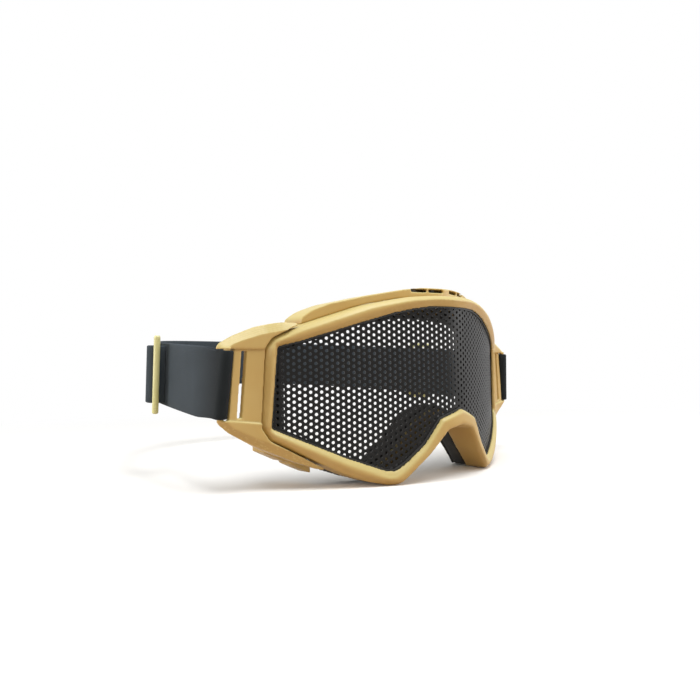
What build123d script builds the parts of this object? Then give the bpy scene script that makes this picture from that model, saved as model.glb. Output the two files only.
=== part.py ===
from build123d import *
from math import asin, atan2, cos, degrees, hypot, radians, sin, tan
import os

os.makedirs("parts", exist_ok=True)

# Millimetres. +X is the wearer's left, +Y is backwards, +Z is up, and the goggles face -Y.
# The origin is the middle of the face seal at the brow: x = 0, the seal's back face, mid height.

# Lens sheet in plan: two equal arcs that meet in a soft bend over the nose
lens_arc_radius = 235.0
nose_bend_angle = 14.9
nose_arc_radius = 30.0
lens_arc_end_angle = 42.0
lens_setback = 28.0
mesh_thickness = 0.8

# Window that the mesh shows through
window_half_width = 86.5
window_top = 38.8
window_bottom = 41.6

# Bezel and eyecup
bezel_side_border = 4.0
bezel_top_border = 5.2
bezel_bottom_border = 6.8
bezel_front = 3.5
bezel_lip = 2.5
bevel_step_count = 4
window_edge_thickness = 0.8
window_bevel_height = 3.2
window_bevel_side = 2.0
rim_bevel_height = 2.0
rim_bevel_side = 1.6
rim_bevel_depth = 2.2
cup_wall = 2.0
side_taper_angle = 45.0
side_taper_setback = 20.0
side_taper_clearance = 1.0
flange_width = 8.0
flange_thickness = 2.0
brow_blend = 60.0
wide_blend = 16.0
corner_blend = 4.0
small_blend = 2.0
facet_blend = 0.6

# Lens stack behind the lip
gasket_thickness = 0.5
gasket_reveal = 0.7
retainer_thickness = 2.0
stack_gap = 0.05
mesh_grid_columns = 12
mesh_grid_rows = 6
mesh_grid_open_share = 0.5
mesh_grid_margin = 2.0
lens_edge_clearance = 0.3

# Face seal
face_arc_radius = 97.5
foam_depth = 10.0
foam_width = 10.0
foam_inset = 0.4
fleece_thickness = 1.2

# Brow vent hood and its filter
hood_front_setback = 6.0
hood_depth = 12.0
hood_wall = 1.5
hood_rise = 5.0
hood_half_width = 70.5
hood_seat_gap = 0.05
vent_slot_length = 9.0
vent_slot_height = 1.6
vent_slot_top_gap = 1.9
vent_first_centre = 6.0
vent_pitch = 10.5
vent_count = 2
wall_vent_length = 12.0
wall_vent_depth = 6.0
wall_vent_pitch = 17.0
wall_vent_count = 3
filter_clearance = 0.3

# Lower vent covers
lower_vent_setback = 13.0
lower_vent_depth = 8.0
lower_vent_rise = 3.4
lower_vent_wall = 1.2
lower_vent_louvre_gap = 2.2
lower_vent_inner_x = 63.5
lower_vent_outer_x = 81.5

# Outriggers: swinging clips that carry the strap
seam_gap = 0.45
arm_front = 3.0
arm_depth = 9.5
arm_end_depth = 4.8
outrigger_half_width = 110.4
wing_knee_x = 98.0
wing_knee_setback = 45.4
wing_end_setback = 46.8
web_recess = 0.8
web_thickness = 3.0
bar_window_top = 17.6
bar_window_bottom = 15.0
web_root_drop = 3.2
arm_tip_round = 1.2
arm_bevel_height = 3.6
arm_bevel_side = 1.2
arm_bevel_depth = 2.8
bar_lean_share = 0.08
bar_middle_z = 1.35
bar_x = 107.7
bar_setback = 48.6
bar_radius = 1.5
front_slot_x = 99.3
front_slot_width = 2.3
strip_edge_x = 104.25

# Outrigger hinge
pivot_upper = (79.4, 27.4)
pivot_lower = (69.9, 35.8)
pivot_setback = 4.2
swing_angle = 10.0
swing_steps = 4
pin_radius = 1.2
pin_play = 0.05
pin_inner_length = 7.0
pin_outer_length = 1.6
pin_end_gap = 0.3
boss_radius = 2.8
boss_length = 5.0

# Strap
strap_width = 34.0
strap_thickness = 1.4
strap_fold_width = 31.2
strap_flare_start = 2.5
strap_flare_length = 22.0
strap_fold_gap = 0.2
strap_layer_gap = 0.3
strap_rise_angle = 4.3
run_radius = 430.0
slider_heading = 9.3
slider_zone = 9.0
tail_length = 13.0
temple_radius = 110.0
temple_heading = 28.0
head_back = 186.5
band_joint_length = 26.0

# Slider
slider_bar_radius = 1.7
slider_centre_bar_radius = 1.3
slider_bar_spacing = 7.0
slider_height = 42.0
slider_end_height = 3.0
slider_tilt = 14.7
slider_play = 0.3
bight_width = 31.0
bight_inner_radius = 3.0
bight_rise = 0.9

# Reach of construction solids, beyond every real face
side_reach = 130.0
reach = 150.0

# Outlines as shares of half width, and of the height above or below the middle, with corner radii
window_outline_shares = [
    (0.183, 0.987, brow_blend), (0.296, 0.948, brow_blend), (0.407, 0.894, brow_blend),
    (0.610, 0.747, brow_blend), (0.792, 0.608, brow_blend), (0.874, 0.541, wide_blend),
    (0.972, 0.480, facet_blend), (1.0, -0.471, facet_blend), (0.879, -0.603, wide_blend),
    (0.664, -0.827, wide_blend), (0.465, -0.995, small_blend), (0.418, -1.0, small_blend),
    (0.360, -0.925, wide_blend), (0.246, -0.716, wide_blend), (0.143, -0.423, facet_blend),
    (0.0, -0.317, facet_blend),
]
bezel_outline_shares = [
    (0.155, 0.996, brow_blend), (0.310, 0.972, brow_blend), (0.510, 0.884, brow_blend),
    (0.692, 0.745, brow_blend), (0.860, 0.611, wide_blend), (0.947, 0.514, corner_blend),
    (0.978, 0.416, small_blend), (1.0, -0.401, small_blend), (0.965, -0.515, corner_blend),
    (0.735, -0.771, wide_blend), (0.617, -0.890, wide_blend), (0.527, -0.957, wide_blend),
    (0.431, -0.998, wide_blend), (0.375, -1.0, corner_blend), (0.221, -0.738, wide_blend),
    (0.103, -0.490, corner_blend), (0.0, -0.444, corner_blend),
]
hood_outline_shares = [
    (0.214, 0.992, brow_blend), (0.351, 0.967, brow_blend), (0.601, 0.896, brow_blend),
    (0.829, 0.816, wide_blend), (0.936, 0.749, wide_blend), (1.0, 0.671, corner_blend),
]
upper_arm_shares = [
    (0.692, 0.985, arm_tip_round), (0.745, 1.0, wide_blend), (0.831, 0.925, wide_blend),
    (0.932, 0.785, wide_blend), (1.0, 0.645, corner_blend),
]
lower_arm_shares = [
    (1.0, 0.400, corner_blend), (0.950, 0.520, wide_blend), (0.826, 0.710, wide_blend),
    (0.695, 0.895, wide_blend), (0.600, 1.0, arm_tip_round),
]
upper_arm_top = 30.3
lower_arm_bottom = 39.9
arm_inner_share = 0.6
arm_root_share = 0.975
web_inner_share = 0.9
web_root_share = 0.96
slider_edge_share = 0.6
slider_end_share = 0.8
strap_stop_shares = (0, 0.3, 0.5, 0.75, 1)
taper_end_share = 0.1

# Sizes that follow
bezel_half_width = window_half_width + bezel_side_border
bezel_top = window_top + bezel_top_border
bezel_bottom = window_bottom + bezel_bottom_border
lip_back = bezel_lip - bezel_front
gasket_front = lip_back + stack_gap
gasket_back = gasket_front + gasket_thickness
mesh_front = gasket_back + stack_gap
mesh_back = mesh_front + mesh_thickness
retainer_front = mesh_back + stack_gap
retainer_back = retainer_front + retainer_thickness
side_centre_x = -lens_arc_radius * sin(radians(nose_bend_angle))
side_centre_y = lens_arc_radius * cos(radians(nose_bend_angle)) - lens_setback
tangent_angle = degrees(asin(-side_centre_x / (lens_arc_radius - nose_arc_radius)))
nose_centre_y = side_centre_y - (lens_arc_radius - nose_arc_radius) * cos(radians(tangent_angle))


def save(shape, node):
    """Write one sub-part."""
    export_step(shape, f"parts/{node}.step")
    return shape


def both_sides(shape, name):
    """Write a left piece and its mirror image on the wearer's right."""
    save(shape, f"{name}_left")
    save(mirror(shape, about=Plane.YZ), f"{name}_right")


def outline_points(shares, half_width, top, bottom):
    """Points and corner radii of a half outline in the front view."""
    points = []
    for x_share, z_share, blend in shares:
        height = top if z_share > 0 else bottom
        points.append((x_share * half_width, z_share * height, blend))
    return points


def mirrored_face(points):
    """Closed face from a half outline that runs from the top middle to the bottom middle."""
    left = [(-x, z, blend) for x, z, blend in reversed(points) if x > 0]
    ring = points + left
    corners = [(x, z) for x, z, blend in ring]
    blends = [blend for x, z, blend in ring]
    return make_face(FilletPolyline(*corners, radius=blends, close=True))


def one_side_face(points):
    """Closed face from a whole outline with corner radii."""
    corners = [(x, z) for x, z, blend in points]
    blends = [blend for x, z, blend in points]
    return make_face(FilletPolyline(*corners, radius=blends, close=True))


def front_prism(face):
    """A front view outline run through the whole depth."""
    return extrude(Plane.XZ * face, amount=reach, both=True)


def plan_prism(face):
    """A plan outline run through the whole height."""
    return extrude(face, amount=reach, both=True)


def lens_point(setback, angle):
    """Point of the left half of the lens curve, moved back, where its slope is this angle."""
    radius = lens_arc_radius - setback
    centre = (side_centre_x, side_centre_y)
    if angle < tangent_angle:
        radius = nose_arc_radius - setback
        centre = (0, nose_centre_y)
    slope = radians(angle)
    return (centre[0] + radius * sin(slope), centre[1] - radius * cos(slope))


def lens_angle_at(x, setback):
    """Slope of the lens curve at this distance from the middle."""
    return degrees(asin((x - side_centre_x) / (lens_arc_radius - setback)))


def lens_region(setback):
    """Plan face of all that lies behind the lens curve moved back by this much."""
    end = lens_point(setback, lens_arc_end_angle)
    middle = lens_point(setback, (tangent_angle + lens_arc_end_angle) / 2)
    joint = lens_point(setback, tangent_angle)
    nose = (0, nose_centre_y - nose_arc_radius + setback)
    far_y = end[1] + (side_reach - end[0]) * tan(radians(lens_arc_end_angle))
    far = (side_reach, far_y)
    edges = [
        ThreePointArc(joint, middle, end),
        Line(end, far),
        Line(far, (side_reach, side_reach + reach)),
        Line((side_reach, side_reach + reach), (-side_reach, side_reach + reach)),
        Line((-side_reach, side_reach + reach), (-far[0], far[1])),
        Line((-far[0], far[1]), (-end[0], end[1])),
        ThreePointArc((-end[0], end[1]), (-middle[0], middle[1]), (-joint[0], joint[1])),
        ThreePointArc((-joint[0], joint[1]), nose, joint),
    ]
    return make_face(edges)


def lens_band(front, back):
    """Wall that follows the lens curve between two setbacks."""
    return plan_prism(lens_region(front) - lens_region(back))


def face_disc(grow):
    """Round plan of the face, grown forwards."""
    return Pos(0, face_arc_radius) * Circle(face_arc_radius + grow)


def taper_region(inset):
    """Plan face inside the eyecup's sides, which run in towards the temples."""
    slope = tan(radians(side_taper_angle))
    shift = inset / cos(radians(side_taper_angle))
    wide = bezel_half_width + side_taper_clearance - inset
    start = side_taper_setback - (shift - inset) / slope
    narrow = wide - (reach / 2 - start) * slope
    end = reach / 2
    if narrow < 0:
        narrow = wide * taper_end_share
        end = start + (wide - narrow) / slope
    right = [(wide, -reach), (wide, start), (narrow, end)]
    left = [(-x, y) for x, y in reversed(right)]
    return make_face(Polyline(*(right + left), close=True))


window_points = outline_points(window_outline_shares, window_half_width, window_top, window_bottom)
window_face = mirrored_face(window_points)
bezel_points = outline_points(bezel_outline_shares, bezel_half_width, bezel_top, bezel_bottom)
bezel_face = mirrored_face(bezel_points)


def cup_prism(inset):
    """The eyecup's outer form moved in by this much."""
    face = bezel_face if inset == 0 else offset(bezel_face, amount=-inset)
    return front_prism(face) & plan_prism(taper_region(inset))


def window_prism(shrink):
    """The mesh window run through the depth, made smaller by this much."""
    face = window_face if shrink == 0 else offset(window_face, amount=-shrink)
    return front_prism(face)


def pivot_axis():
    """Top, foot and upward direction of the left outrigger's hinge axis."""
    ends = []
    for x, z in (pivot_upper, (pivot_lower[0], -pivot_lower[1])):
        ends.append(Vector(x, lens_point(pivot_setback, lens_angle_at(x, pivot_setback))[1], z))
    top, foot = ends
    return top, foot, (top - foot).normalized()


def pivot_rod(radius, upper, inner_length, outer_length):
    """Round rod on the hinge axis at the upper or lower pivot."""
    top, foot, up = pivot_axis()
    if upper:
        start = top - up * inner_length
    else:
        start = foot - up * outer_length
    length = inner_length + outer_length
    return extrude(Plane(origin=start, z_dir=up) * Circle(radius), amount=length)


def bevel_shares():
    """Share of a bevel's width that each fine step takes, and of its depth that is left there."""
    counts = range(1, bevel_step_count + 1)
    return [(index / bevel_step_count, 1 - (index - 1) / bevel_step_count) for index in counts]


def frame_shell():
    """Bezel, eyecup walls and rear flange, moulded in one piece."""
    outer = cup_prism(0)
    body = outer & plan_prism(lens_region(-bezel_front))
    body -= cup_prism(cup_wall) & plan_prism(lens_region(lip_back))
    flange = (outer - cup_prism(flange_width)) & plan_prism(face_disc(foam_depth + flange_thickness))
    body += flange & plan_prism(taper_region(0))
    for upper in (True, False):
        boss = pivot_rod(boss_radius, upper, boss_length, 0)
        boss = boss & outer
        body += boss
        body += mirror(boss, about=Plane.YZ)
    body -= plan_prism(face_disc(foam_depth))
    body -= window_prism(0) & lens_band(-2 * bezel_front, mesh_front)
    body -= window_bevel()
    body -= rim_bevel()
    for upper in (True, False):
        bore = pivot_rod(pin_radius, upper, pin_inner_length, pin_outer_length)
        body -= bore
        body -= mirror(bore, about=Plane.YZ)
    return body - wall_vents()


def window_bevel():
    """Fine steps that slope the bezel's front face down to the mesh all round the window."""
    steps = []
    for wide, left in bevel_shares():
        side = wide * window_bevel_side
        grow = wide * window_bevel_height
        points = outline_points(
            window_outline_shares, window_half_width + side, window_top + grow, window_bottom + grow
        )
        front = left * (bezel_lip - window_edge_thickness) - bezel_front
        steps.append(front_prism(mirrored_face(points)) & lens_band(-2 * bezel_front, front))
    return steps


def rim_bevel():
    """Fine steps that slope the bezel's front face back to its outer edge."""
    steps = []
    for wide, left in bevel_shares():
        side = wide * rim_bevel_side
        shrink = wide * rim_bevel_height
        points = outline_points(
            bezel_outline_shares, bezel_half_width - side, bezel_top - shrink, bezel_bottom - shrink
        )
        outside = cup_prism(0) - front_prism(mirrored_face(points))
        steps.append(outside & lens_band(-2 * bezel_front, left * rim_bevel_depth - bezel_front))
    return steps


def wall_vents():
    """Slots through the brow wall under the hood."""
    slots = []
    setback = hood_front_setback + hood_depth / 2
    for side in (-1, 1):
        for index in range(wall_vent_count):
            distance = wall_vent_pitch * (2 * index + 1) / 2
            angle = lens_angle_at(distance, setback)
            x, y = lens_point(setback, angle)
            slot = Box(wall_vent_length, wall_vent_depth, bezel_top_border * 2)
            slot = Pos(side * x, y, window_top + bezel_top_border / 2) * Rot(0, 0, side * angle) * slot
            slots.append(slot)
    return slots


def brow_hood():
    """Low hollow hood over the brow vents, with slots along its front edge."""
    top_points = outline_points(hood_outline_shares, hood_half_width, bezel_top + hood_rise, 0)
    low = bezel_top * hood_outline_shares[-1][1] / 2
    closing = [(hood_half_width, low, 0), (0, low, 0)]
    cover = mirrored_face(top_points + closing)
    seat = front_prism(offset(bezel_face, amount=hood_seat_gap))
    back = hood_front_setback + hood_depth
    hood = (front_prism(cover) & lens_band(hood_front_setback, back)) - seat
    inner = offset(cover, amount=-hood_wall)
    room = front_prism(inner) & lens_band(hood_front_setback + hood_wall, back - hood_wall)
    hood -= room
    for side in (-1, 1):
        for index in range(vent_count):
            distance = vent_first_centre + index * vent_pitch
            angle = lens_angle_at(distance, hood_front_setback)
            x, y = lens_point(hood_front_setback, angle)
            slot = Box(vent_slot_length, 2 * hood_depth, vent_slot_height)
            top = bezel_top + hood_rise - vent_slot_top_gap
            hood -= Pos(side * x, y, top) * Rot(0, 0, side * angle) * slot
    return hood, cover


def brow_filter(cover):
    """Strip of open foam that fills the hood."""
    inner = offset(cover, amount=-(hood_wall + filter_clearance))
    front = hood_front_setback + hood_wall + filter_clearance
    back = hood_front_setback + hood_depth - hood_wall - filter_clearance
    seat = front_prism(offset(bezel_face, amount=filter_clearance))
    return (front_prism(inner) & lens_band(front, back)) - seat


def lower_vent():
    """Low louvred cover on the cup's lower wall, left side, with the foam inside."""
    shell = front_prism(offset(bezel_face, amount=lower_vent_rise))
    seat = front_prism(offset(bezel_face, amount=hood_seat_gap))
    length = lower_vent_outer_x - lower_vent_inner_x
    middle = (lower_vent_outer_x + lower_vent_inner_x) / 2
    strip = Pos(middle, 0, -reach / 2) * Box(length, 2 * reach, reach)
    back = lower_vent_setback + lower_vent_depth
    cover = (shell & strip & lens_band(lower_vent_setback, back)) - seat
    room_shell = front_prism(offset(bezel_face, amount=lower_vent_rise - lower_vent_wall))
    room_strip = Pos(middle, 0, -reach / 2) * Box(length - 2 * lower_vent_wall, 2 * reach, reach)
    room_band = lens_band(lower_vent_setback + lower_vent_wall, back - lower_vent_wall)
    cover -= room_shell & room_strip & room_band
    louvre = Pos(middle, 0, -reach / 2) * Box(lower_vent_louvre_gap, 2 * reach, reach)
    notch = shell - front_prism(offset(bezel_face, amount=lower_vent_rise - lower_vent_wall / 2))
    cover -= louvre & notch & lens_band(lower_vent_setback - lower_vent_wall, back + lower_vent_wall)
    clear = filter_clearance
    core_shell = front_prism(offset(bezel_face, amount=lower_vent_rise - lower_vent_wall - clear))
    core_length = length - 2 * lower_vent_wall - 2 * clear
    core_strip = Pos(middle, 0, -reach / 2) * Box(core_length, 2 * reach, reach)
    core_front = lower_vent_setback + lower_vent_wall + clear
    core_band = lens_band(core_front, back - lower_vent_wall - clear)
    core_seat = front_prism(offset(bezel_face, amount=clear))
    core = (core_shell & core_strip & core_band) - core_seat
    return cover, core


def lens_stack():
    """Gasket, mesh sheet and retainer ring, all held inside the cup's wall."""
    edge = cup_prism(cup_wall + lens_edge_clearance)
    window = window_prism(gasket_reveal)
    gasket = (edge & lens_band(gasket_front, gasket_back)) - window
    mesh = (edge & lens_band(mesh_front, mesh_back)) - mesh_grid()
    hole = offset(window_face, amount=-gasket_reveal)
    retainer = (edge & lens_band(retainer_front, retainer_back)) - front_prism(hole)
    for upper in (True, False):
        boss = pivot_rod(boss_radius + lens_edge_clearance, upper, boss_length + lens_edge_clearance, 0)
        retainer -= boss
        retainer -= mirror(boss, about=Plane.YZ)
    return gasket, mesh, retainer


def mesh_grid():
    """Plain square openings that stand for the fine holes of the mesh."""
    room = offset(window_face, amount=-mesh_grid_margin)
    pitch_x = 2 * window_half_width / mesh_grid_columns
    pitch_z = (window_top + window_bottom) / mesh_grid_rows
    width, height = mesh_grid_open_share * pitch_x, mesh_grid_open_share * pitch_z
    openings = []
    for column in range(mesh_grid_columns):
        for row in range(mesh_grid_rows):
            x = (2 * column + 1) * pitch_x / 2 - window_half_width
            z = (2 * row + 1) * pitch_z / 2 - window_bottom
            corners = [(x + i * width / 2, z + j * height / 2) for i in (-1, 1) for j in (-1, 1)]
            if all(room.is_inside(Vector(*corner, 0)) for corner in corners):
                openings.append(Pos(x, 0, z) * Box(width, 2 * reach, height))
    return openings


def seal_ring(front, back, inset, width):
    """Ring that follows the flange, between two distances in front of the face."""
    ring = cup_prism(inset) - cup_prism(width)
    band = plan_prism(face_disc(front)) - plan_prism(face_disc(back))
    return ring & band


def wing_front(setback):
    """Plan edges of the outrigger's front, moved back by this much, from tip to end."""
    inner = lens_angle_at(bezel_half_width * arm_inner_share, -arm_front)
    root = lens_angle_at(bezel_half_width * arm_root_share, -arm_front)
    points = [lens_point(-arm_front, inner), lens_point(-arm_front, (inner + root) / 2)]
    points.append(lens_point(-arm_front, root))
    points.append((wing_knee_x, wing_knee_setback - lens_setback))
    points.append((outrigger_half_width + arm_front, wing_end_setback - lens_setback))
    return [(x, y + setback) for x, y in points]


def wing_region(front, back, end_back):
    """Plan solid of the outrigger between two setbacks behind its front."""
    a = wing_front(front)
    b = wing_front(back)[:3] + wing_front(end_back)[3:]
    edges = [
        ThreePointArc(a[0], a[1], a[2]), ThreePointArc(a[2], a[3], a[4]), Line(a[4], b[4]),
        ThreePointArc(b[4], b[3], b[2]), ThreePointArc(b[2], b[1], b[0]), Line(b[0], a[0]),
    ]
    return plan_prism(make_face(edges))


def leaning_strip(middle_x, width):
    """Upright strip of the front view that leans as the strap bar does."""
    low = -upper_arm_top - lower_arm_bottom
    high = -low
    shift_low = -(low - bar_middle_z) * bar_lean_share
    shift_high = -(high - bar_middle_z) * bar_lean_share
    corners = [
        (middle_x + shift_low - width / 2, low), (middle_x + shift_low + width / 2, low),
        (middle_x + shift_high + width / 2, high), (middle_x + shift_high - width / 2, high),
    ]
    return front_prism(make_face(Polyline(*corners, close=True)))


def clip_face(side, shrink):
    """Front view of both arms as one outline, with its outer edges moved in."""
    half = outrigger_half_width - side
    upper = [(x * half, z * (upper_arm_top - shrink), blend) for x, z, blend in upper_arm_shares]
    lower = [(x * half, -z * (lower_arm_bottom - shrink), blend) for x, z, blend in lower_arm_shares]
    inner = [(bezel_half_width * arm_inner_share, 0, 0)]
    return one_side_face(upper + lower + inner)


def arm_bevel():
    """Fine steps that slope the arms' front back to their outer edges."""
    steps = []
    whole = front_prism(clip_face(0, 0))
    for wide, left in bevel_shares():
        outside = whole - front_prism(clip_face(wide * arm_bevel_side, wide * arm_bevel_height))
        depth = left * arm_bevel_depth
        steps.append(outside & wing_region(-arm_front, depth, depth))
    return steps


def outrigger():
    """Left clip: two arms that hug the frame's corner, a web, a strip and the strap bar."""
    half = outrigger_half_width
    form = front_prism(clip_face(0, 0))
    top, foot, up = pivot_axis()
    seat = front_prism(offset(bezel_face, amount=seam_gap))
    # The clip is cut clear of the frame at every stage of its swing
    for step in range(swing_steps + 1):
        form -= seat.rotate(Axis(foot, up), swing_angle * step / swing_steps)
    web_start = bezel_half_width * web_inner_share
    window_corners = [
        (web_start, bar_window_top), (half * 2, bar_window_top),
        (half * 2, -bar_window_bottom), (half * web_root_share, -bar_window_bottom),
        (web_start, -bar_window_bottom - web_root_drop),
    ]
    bay = front_prism(make_face(Polyline(*window_corners, close=True)))
    arms = (form - bay) & wing_region(0, arm_depth, arm_end_depth)
    arms -= arm_bevel()
    web_back = web_recess + web_thickness
    web = form & bay & wing_region(web_recess, web_back, web_back)
    slot_top = bar_window_top - web_recess
    slot_low = -bar_window_bottom + web_recess
    slot_box = Pos(half, 0, (slot_top + slot_low) / 2) * Box(half, 2 * reach, slot_top - slot_low)
    web -= leaning_strip(front_slot_x, front_slot_width) & slot_box
    web -= leaning_strip(strip_edge_x + half, 2 * half)
    bar = strap_bar()
    clip = arms + web + bar
    for upper in (True, False):
        clip -= pivot_rod(pin_radius + pin_play, upper, pin_inner_length, pin_outer_length + pin_end_gap)
    return clip


# Plane in which the strap runs round the head: local x as the row, local y back along the strap
strap_plane = Plane(
    origin=(0, bar_setback - lens_setback, bar_middle_z),
    x_dir=(1, 0, 0),
    z_dir=(0, -sin(radians(strap_rise_angle)), cos(radians(strap_rise_angle))),
)


def strap_bar():
    """Round leaning bar that the strap folds over, run into both arms."""
    length = bar_window_top + bar_window_bottom + 2 * web_recess
    lean = atan2(bar_lean_share, 1)
    bar = Cylinder(bar_radius, length)
    return strap_plane * Pos(bar_x, 0, 0) * Rot(0, -degrees(lean), 0) * bar


def path_parts():
    """Strap path on the left as (turning radius or None, length, start heading)."""
    run_length = run_radius * radians(slider_heading)
    parts = [(run_radius, run_length, 0), (None, slider_zone, slider_heading)]
    temple_length = temple_radius * radians(temple_heading - slider_heading)
    parts.append((temple_radius, temple_length, slider_heading))
    x, v = end_of(parts)
    lean = radians(temple_heading)
    # The last arc ends square to the middle plane at the back of the head
    a, b = sin(lean), cos(lean)
    rest = head_back - v
    length = (rest * b - x * (1 - a)) / (b * b - a * (1 - a))
    radius = (x - length * a) / b
    parts.append((None, length, temple_heading))
    parts.append((radius, radius * radians(90 - temple_heading), temple_heading))
    return parts


def end_of(parts):
    """End point of a strap path that starts at the bar."""
    x, v = bar_x, 0
    for radius, length, heading in parts:
        x, v = step_along(x, v, radius, length, heading)
    return x, v


def step_along(x, v, radius, length, heading):
    """Go on along a straight or an arc that turns towards the middle plane."""
    start = radians(heading)
    if radius is None:
        return x - length * sin(start), v + length * cos(start)
    end = start + length / radius
    return x - radius * (cos(start) - cos(end)), v + radius * (sin(end) - sin(start))


strap_path = path_parts()


def path_at(distance):
    """Point and heading of the strap path at a distance from the bar."""
    x, v = bar_x, 0
    for radius, length, heading in strap_path:
        if distance <= length or (radius, length, heading) == strap_path[-1]:
            x, v = step_along(x, v, radius, distance, heading)
            turned = 0 if radius is None else degrees(distance / radius)
            return x, v, heading + turned
        x, v = step_along(x, v, radius, length, heading)
        distance -= length
    return x, v, heading


def beside_path(distance, outward):
    """Point beside the path, outward from the head."""
    x, v, heading = path_at(distance)
    return (x + outward * cos(radians(heading)), v + outward * sin(radians(heading)))


run_length = strap_path[0][1]
slider_distance = run_length + slider_zone / 2
band_start = run_length + slider_zone + band_joint_length
layer_offset = (strap_thickness + strap_layer_gap) / 2
fold_offset = bar_radius + strap_fold_gap + strap_thickness / 2


def strap_section(distance, outward):
    """Cross section of one strap layer, leaning near the bar and upright at the slider."""
    progress = min(distance / run_length, 1)
    lean = bar_lean_share * (1 - progress)
    flare = min(max(distance - strap_flare_start, 0) / strap_flare_length, 1)
    half = (strap_fold_width + (strap_width - strap_fold_width) * flare) / 2
    corners = []
    for edge, face in ((-1, -1), (1, -1), (1, 1), (-1, 1)):
        x, v = beside_path(distance, outward + face * strap_thickness / 2)
        corners.append(Vector(x - edge * half * lean, v, edge * half))
    return make_face(Polyline(*corners, close=True))


def strap_layer(side, last):
    """One layer from the bar to a distance along the path; side is +1 outside, -1 inside."""
    flare_end = strap_flare_start + strap_flare_length
    stops = [share * run_length for share in strap_stop_shares] + [strap_flare_start, flare_end]
    stops += [run_length + slider_zone, run_length + slider_zone + band_joint_length / 2]
    stops = sorted(stop for stop in stops if stop < last) + [last]
    sections = []
    for distance in stops:
        ease = min(distance / run_length, 1)
        outward = side * (fold_offset + (layer_offset - fold_offset) * ease)
        sections.append(strap_section(distance, outward))
    return loft(sections, ruled=True)


def strap_fold():
    """Half turn of the strap in front of the bar."""
    inner = bar_radius + strap_fold_gap
    outer = inner + strap_thickness
    ring = Circle(outer) - Circle(inner)
    ring &= Pos(0, -outer) * Rectangle(2 * outer, 2 * outer)
    lean = atan2(bar_lean_share, 1)
    half = strap_fold_width / 2 * hypot(1, bar_lean_share)
    return Pos(bar_x, 0, 0) * Rot(0, -degrees(lean), 0) * extrude(ring, amount=half, both=True)


def strap_side():
    """Strap from the rear band to the bar, round it, and back through the slider to its tail."""
    outside = strap_layer(1, band_start)
    inside = strap_layer(-1, run_length + slider_zone / 2 + tail_length)
    return strap_plane * (outside + inside + strap_fold())


def strap_rear_band():
    """The rest of the strap, round the back of the head."""
    edges = []
    total = sum(length for radius, length, heading in strap_path)
    starts = [sum(part[1] for part in strap_path[:index]) for index in range(len(strap_path))]
    ends = starts[1:] + [total]
    spans = [(max(a, band_start), b) for a, b in zip(starts, ends) if b > band_start]
    loops = {}
    for face in (-1, 1):
        outward = layer_offset + face * strap_thickness / 2
        loops[face] = [
            (beside_path(a, outward), beside_path((a + b) / 2, outward), beside_path(b, outward))
            for a, b in spans
        ]
    for face in (-1, 1):
        for first, middle, last in loops[face]:
            edges.append(path_edge(first, middle, last))
            edges.append(path_edge(*[(-x, v) for x, v in (first, middle, last)]))
    for side in (-1, 1):
        inner, outer = loops[-1][0][0], loops[1][0][0]
        edges.append(Line((side * inner[0], inner[1]), (side * outer[0], outer[1])))
    band = make_face(edges)
    return strap_plane * extrude(band, amount=strap_width / 2, both=True)


def bent(first, middle, last):
    """True where three points don't lie on one line."""
    area = (middle[0] - first[0]) * (last[1] - first[1]) - (middle[1] - first[1]) * (last[0] - first[0])
    chord = hypot(last[0] - first[0], last[1] - first[1])
    return abs(area) > chord * chord / reach / reach


def path_edge(first, middle, last):
    """Arc through three points, or a line where they lie on one."""
    if bent(first, middle, last):
        return ThreePointArc(first, middle, last)
    return Line(first, last)


def slider_frame():
    """Local plane of the left slider: x out from the head, y back along the strap."""
    x, v, heading = path_at(slider_distance)
    return strap_plane * Pos(x, v, 0) * Rot(0, 0, heading)


# The tilted slider's middle and the webbing's face, out from the strap's path
slider_foot = layer_offset + strap_thickness / 2 + slider_play
slider_offset = slider_foot + slider_bar_radius + slider_bar_spacing * sin(radians(slider_tilt))


def slider():
    """Three-bar slide: two outer bars, a centre bar and two ends, tilted on the strap by its pull."""
    body = Cylinder(slider_centre_bar_radius, slider_height - slider_end_height)
    for place in (-slider_bar_spacing, slider_bar_spacing):
        bar = Cylinder(slider_bar_radius, slider_height)
        bar = fillet(bar.edges(), radius=slider_bar_radius * slider_edge_share)
        body += Pos(0, place, 0) * bar
    for side in (-1, 1):
        end = Box(2 * slider_bar_radius * slider_end_share, 2 * slider_bar_spacing, slider_end_height)
        body += Pos(0, 0, side * (slider_height - slider_end_height) / 2) * end
    return slider_frame() * Pos(slider_offset, 0, 0) * Rot(0, 0, slider_tilt) * body


def strap_bight():
    """Loose hump of webbing that passes over the slider's centre bar."""
    crown = slider_offset + bight_rise
    outer = bight_inner_radius + strap_thickness
    ring = Circle(outer) - Circle(bight_inner_radius)
    ring &= Pos(outer, 0) * Rectangle(2 * outer, 2 * outer)
    leg_length = crown - slider_foot
    for side in (-1, 1):
        leg = Rectangle(leg_length, strap_thickness)
        ring += Pos(-leg_length / 2, side * (bight_inner_radius + strap_thickness / 2)) * leg
    hump = extrude(ring, amount=bight_width / 2, both=True)
    return slider_frame() * Pos(crown, 0, 0) * hump


def pivot_pins():
    """Two hinge pins of the left outrigger, pressed into the frame's bosses."""
    pins = [pivot_rod(pin_radius, upper, pin_inner_length, pin_outer_length) for upper in (True, False)]
    return Compound(children=[pin.solid() for pin in pins])


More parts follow.
